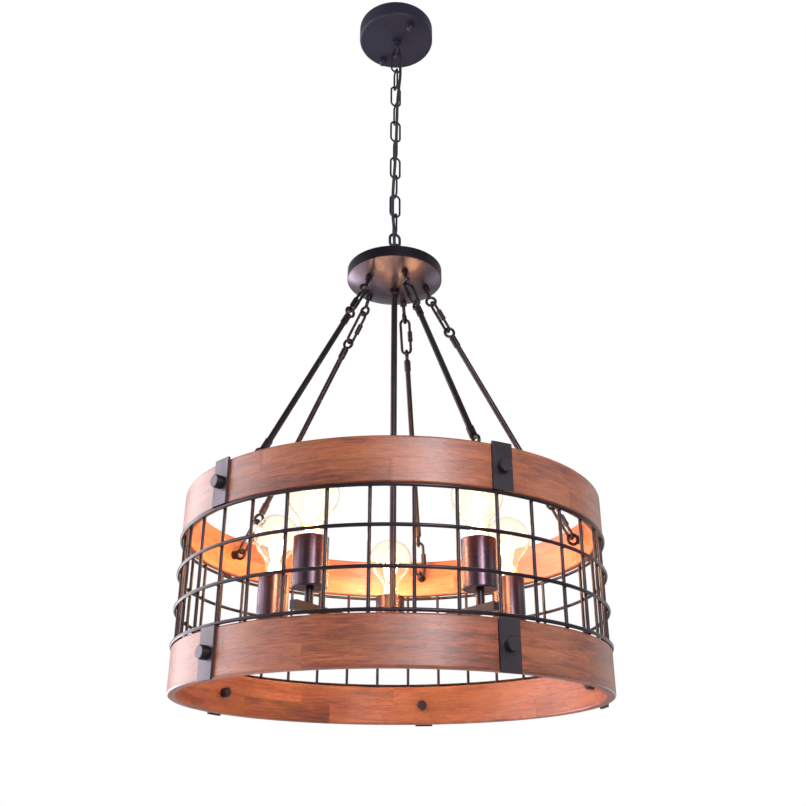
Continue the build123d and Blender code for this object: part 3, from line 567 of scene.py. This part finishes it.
# %% Grid helpers
def grid_piece(name, grids, material):
    """One mesh from point grids of shape (rows, columns, 3), closed round the columns.

    A row may shrink to a point.
    """
    points, faces, start = [], [], 0
    for grid in grids:
        rows, columns, _ = grid.shape
        index = np.arange(rows * columns).reshape(rows, columns) + start
        beside = np.roll(index, -1, axis=1)
        faces.append(np.stack([index[:-1], beside[:-1], beside[1:], index[1:]], axis=-1).reshape(-1, 4))
        points.append(grid.reshape(-1, 3))
        start += rows * columns
    mesh = bpy.data.meshes.new(name)
    mesh.from_pydata(np.concatenate(points).tolist(), [], np.concatenate(faces).tolist())
    shape = bmesh.new()
    shape.from_mesh(mesh)
    bmesh.ops.remove_doubles(shape, verts=shape.verts, dist=1e-7)
    bmesh.ops.recalc_face_normals(shape, faces=shape.faces)
    shape.to_mesh(mesh)
    shape.free()
    mesh.shade_smooth()
    mesh.materials.append(material)
    piece = bpy.data.objects.new(name, mesh)
    scene.collection.objects.link(piece)
    return piece


def tube_grid(path, radius, sides=12):
    """A circle carried along the path: path + radius (side cos t + lift sin t), shut at both ends."""
    tangent = np.gradient(path, axis=0)
    tangent /= np.linalg.norm(tangent, axis=1, keepdims=True)
    helper = np.where(np.abs(tangent[:, :1]) < 0.8, [[1.0, 0.0, 0.0]], [[0.0, 1.0, 0.0]])
    side = np.cross(helper, tangent)
    side /= np.linalg.norm(side, axis=1, keepdims=True)
    lift = np.cross(tangent, side)
    turn = np.linspace(0, 2 * np.pi, sides, endpoint=False)
    ring = side[:, None] * np.cos(turn)[None, :, None] + lift[:, None] * np.sin(turn)[None, :, None]
    body = path[:, None] + radius * ring
    first = np.repeat(path[:1, None], sides, axis=1)
    last = np.repeat(path[-1:, None], sides, axis=1)
    return np.concatenate([first, body, last])


def spun_grid(profile, centre, sides=24):
    """A profile of (radius, height) rows turned about the upright line through centre."""
    turn = np.linspace(0, 2 * np.pi, sides, endpoint=False)
    x = centre[0] + profile[:, :1] * np.cos(turn)
    y = centre[1] + profile[:, :1] * np.sin(turn)
    z = np.broadcast_to(centre[2] + profile[:, 1:], x.shape)
    return np.stack([x, y, z], axis=-1)


print("grid helpers ready")

# %% [markdown]
# Supply cord
#
# A black cord leaves the canopy's loop on the right of the chain, drifts across in front of the links and
# goes into the dish on their left. It is one smooth spline near the solid's route, with points moved to
# follow the photograph. The chain swings at its top and bottom links, so the cord is cut into four lengths
# by height.

# %% Cord line
cord_radius = 0.0023
cord_points = np.array([
    (0.0, 0.0, -11.5), (0.0, 0.0, -34.0), (5.2, -4.7, -48.5), (5.3, -6.0, -80.0), (4.3, -10.0, -104.0),
    (1.5, -11.7, -128.0), (-1.2, -11.7, -160.0), (-1.8, -11.8, -200.0), (-2.8, -11.8, -240.0),
    (-4.2, -11.2, -284.0), (-5.7, -7.6, -322.0), (-5.5, -5.2, -352.0), (-5.2, -5.4, -372.0),
    (-4.7, -12.5, -405.5), (-4.7, -12.5, -450.18)]) / 1000
chain_turn = math.radians(18)
cosine, sine = math.cos(chain_turn), math.sin(chain_turn)
spin = np.array([[cosine, -sine, 0], [sine, cosine, 0], [0, 0, 1]])
cord_points = cord_points @ spin.T

curve = bpy.data.curves.new("cord_line", "CURVE")
curve.dimensions = "3D"
spline = curve.splines.new("NURBS")
spline.points.add(len(cord_points) - 1)
spline.points.foreach_set("co", np.column_stack([cord_points, np.ones(len(cord_points))]).ravel())
spline.order_u = 3
spline.use_endpoint_u = True
spline.resolution_u = 12
line_object = bpy.data.objects.new("cord_line", curve)
scene.collection.objects.link(line_object)
bpy.context.view_layer.update()
line_mesh = bpy.data.meshes.new_from_object(line_object)
cord_line = np.empty(len(line_mesh.vertices) * 3)
line_mesh.vertices.foreach_get("co", cord_line)
cord_line = cord_line.reshape(-1, 3)
bpy.data.objects.remove(line_object)
bpy.data.meshes.remove(line_mesh)
print("cord length", round(float(np.linalg.norm(np.diff(cord_line, axis=0), axis=1).sum()), 4), "m")

# %% Cord lengths
# name, body above, body below, top and bottom of the length, start and end of its bend
cord_lengths = [
    ("cord_at_canopy", "ceiling", "chain_top", 0.0, -0.072, -0.045, -0.064),
    ("cord_at_top_link", "chain_top", "chain", -0.072, -0.200, -0.080, -0.098),
    ("cord_at_bottom_link", "chain", "chain_bottom", -0.200, -0.387, -0.360, -0.378),
    ("cord_at_dish", "chain_bottom", "fixture", -0.387, -1.0, -0.396, -0.416),
]
for name, above, below, high, low, start, end in cord_lengths:
    inside = np.flatnonzero((cord_line[:, 2] <= high) & (cord_line[:, 2] >= low))
    last = min(inside[-1] + 1, len(cord_line) - 1)
    piece = grid_piece(name, [tube_grid(cord_line[inside[0]:last + 1], cord_radius, 16)], cord_jacket)
    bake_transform(piece)
    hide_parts("supply_cord")
print("cord in", len(cord_lengths), "lengths")

# %% [markdown]
# Filaments
#
# Inside each clear bulb a glass stem stands on the cap and carries a cage of hot wire that runs up and
# down around it. The wire is a path: its angle grows evenly while its height swings like a cosine. A
# small warm point lamp in each bulb does the real lighting, so the inside of the wood glows orange.

# %% Filament cages
cage_legs = 14
steps_per_leg = 14
cage_turn_share = 0.97
cage_radius, cage_flare = 0.0085, 0.0035
cage_middle, cage_half_height = 0.0335, 0.0155
filament_radius = 0.00042
stem_lift = 0.0006
glow_lift, glow_radius = 0.009, 0.012
glow_power = 1.8
glow_colour = (1.0, 0.52, 0.19)

steps = np.linspace(0, 1, cage_legs * steps_per_leg + 1)
swing = np.cos(np.pi * cage_legs * steps)
around = 2 * np.pi * steps * cage_turn_share
cage_spread = cage_radius + cage_flare * swing
stem_profile = np.array([
    (0.0, 0.0), (0.0095, 0.0004), (0.0088, 0.004), (0.0058, 0.010), (0.0034, 0.018), (0.0024, 0.028),
    (0.0020, 0.044), (0.0026, 0.047), (0.0020, 0.0505), (0.0, 0.0512)])
for lamp in lamps:
    low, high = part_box(f"bulb_glass_{lamp}")
    centre = np.array([(low.x + high.x) / 2, (low.y + high.y) / 2, low.z])
    wire = np.column_stack([
        centre[0] + cage_spread * np.cos(around), centre[1] + cage_spread * np.sin(around),
        centre[2] + cage_middle + cage_half_height * swing])
    filament = grid_piece(f"filament_{lamp}", [tube_grid(wire, filament_radius, 6)], hot_wire)
    stem_grid = spun_grid(stem_profile + [0.0, stem_lift], centre)
    stem = grid_piece(f"filament_stem_{lamp}", [stem_grid], stem_glass)
    for piece in (filament, stem):
        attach(piece, f"bulb_{lamp}")
    glow = bpy.data.lights.new(f"glow_{lamp}", "POINT")
    glow.energy = glow_power
    glow.color = glow_colour
    glow.shadow_soft_size = glow_radius
    glow_lamp = bpy.data.objects.new(f"glow_{lamp}", glow)
    scene.collection.objects.link(glow_lamp)
    glow_lamp.location = centre + np.array([0.0, 0.0, glow_lift])
    glow_lamp.parent = filament
print("filaments in", len(lamps), "bulbs")

# %% [markdown]
# Weld beads
#
# The upright wires are spot-welded to the hoops. A small flattened bead sits in each crossing, between
# the wire inside and the hoop outside. All beads are one grid formula with its centres as arrays.

# %% Weld beads
wire_count, first_wire_angle = 36, 4.1
hoop_count, hoop_wire_radius = 4, 0.002
bead_circle = 0.25805
bead_reach, bead_depth = 0.0024, 0.0017

hoop_low, hoop_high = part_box("cage_hoops")
wire_angles = np.radians(first_wire_angle + 360.0 / wire_count * np.arange(wire_count))
hoop_levels = np.linspace(hoop_low.z + hoop_wire_radius, hoop_high.z - hoop_wire_radius, hoop_count)
level, bearing = (values.ravel() for values in np.meshgrid(hoop_levels, wire_angles))
outward = np.column_stack([np.cos(bearing), np.sin(bearing), np.zeros_like(bearing)])
sideways = np.column_stack([-np.sin(bearing), np.cos(bearing), np.zeros_like(bearing)])
bead_centre = outward * bead_circle + np.column_stack([np.zeros_like(level), np.zeros_like(level), level])
tilt = np.linspace(-np.pi / 2, np.pi / 2, 5)
turn = np.linspace(0, 2 * np.pi, 8, endpoint=False)
bead_shape = np.stack([np.cos(tilt)[:, None] * np.cos(turn), np.cos(tilt)[:, None] * np.sin(turn),
                       np.sin(tilt)[:, None] * np.ones_like(turn)])[..., None]
bead_grids = (bead_centre[:, None, None]
              + bead_reach * bead_shape[0] * sideways[:, None, None]
              + bead_depth * bead_shape[1] * outward[:, None, None]
              + bead_reach * bead_shape[2] * np.array([0.0, 0.0, 1.0]))
beads = grid_piece("weld_beads", list(bead_grids), cage_coat)
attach(beads, "drum")
print("weld beads", len(bead_centre))
